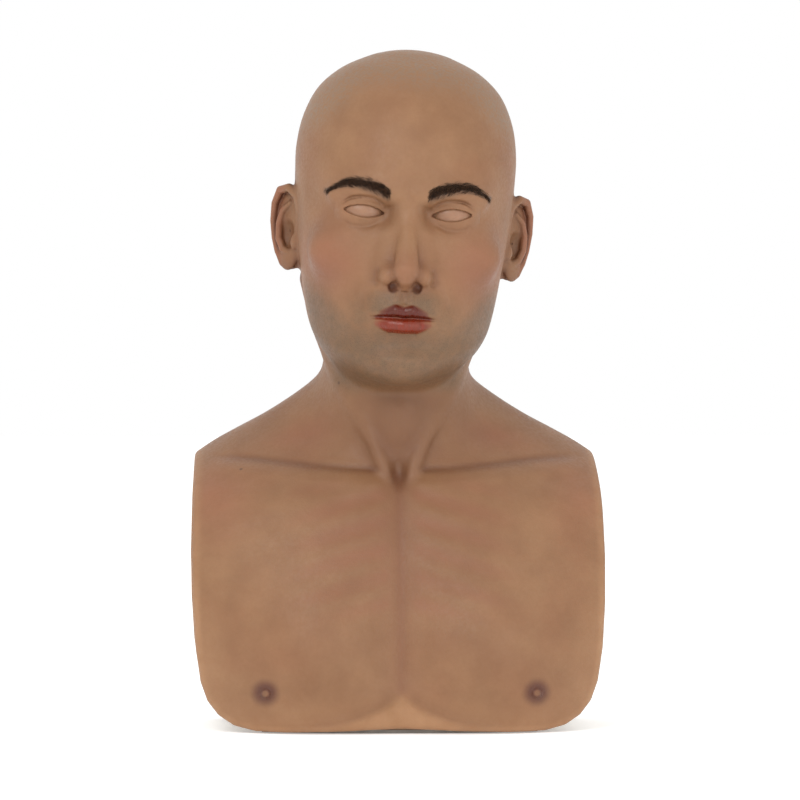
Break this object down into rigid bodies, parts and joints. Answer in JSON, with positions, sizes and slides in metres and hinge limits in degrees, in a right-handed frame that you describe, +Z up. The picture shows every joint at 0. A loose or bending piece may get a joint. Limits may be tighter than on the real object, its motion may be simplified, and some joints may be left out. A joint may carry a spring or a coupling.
{
  "type": "martial arts striking mannequin bust",
  "caption": "Bald male head-and-chest striking mannequin: painted silicone skin with a back zip over a foam core, on a board with a socket for a stand's post.",
  "frame": {"origin": "centre of the underside, at the level that the base pad rests on", "axes": "+Z up, -Y towards the front of the face, +X towards the mannequin's left hand"},
  "size_m": [0.298, 0.2234, 0.492],
  "materials": {
    "painted_skin": "satin painted silicone",
    "brow_hair": "short dark hair",
    "bare_silicone": "satin unpainted silicone",
    "foam": "matte moulded foam",
    "socket_steel": "black powder coat",
    "cap_plastic": "matte black",
    "zinc_steel": "bright zinc plate",
    "plywood": "birch plywood, sealed",
    "pad_rubber": "matte black",
    "zip_tape": "woven polyester",
    "zip_teeth": "moulded acetal",
    "zip_metal": "nickel plate"
  },
  "bodies": {
    "bust": {"skin": "painted_skin", "eyebrow_left": "brow_hair", "eyebrow_right": "brow_hair", "eye_left": "bare_silicone", "eye_right": "bare_silicone", "head_core": "foam", "crown_plug": "foam", "neck_core": "foam", "chest_core": "foam", "post_sleeve": "socket_steel", "sleeve_cap": "cap_plastic", "neck_rod": "zinc_steel", "rod_nuts": "zinc_steel", "rod_washers": "zinc_steel", "base_board": "plywood", "base_flange": "socket_steel", "flange_bolts": "zinc_steel", "flange_nuts": "zinc_steel", "board_screws": "zinc_steel", "base_pad": "pad_rubber", "zip_tape_left": "zip_tape", "zip_tape_right": "zip_tape", "zip_teeth_left": "zip_teeth", "zip_teeth_right": "zip_teeth", "zip_hem_stops": "zip_metal", "zip_nape_stop": "zip_metal"},
    "slider": {"zip_slider": "zip_metal"},
    "pull": {"zip_pull": "zip_metal"}
  },
  "joints": [
    {"name": "zip_slide", "type": "slide", "parent": "bust", "child": "slider", "axis": [0, -0.0434, 0.9991], "range_m": [0, 0.14]},
    {"name": "pull_swing", "type": "hinge", "parent": "slider", "child": "pull", "pos_m": [0, 0.10745, 0.03706], "axis": [1, 0, 0], "range_deg": [0, 160]}
  ]
}
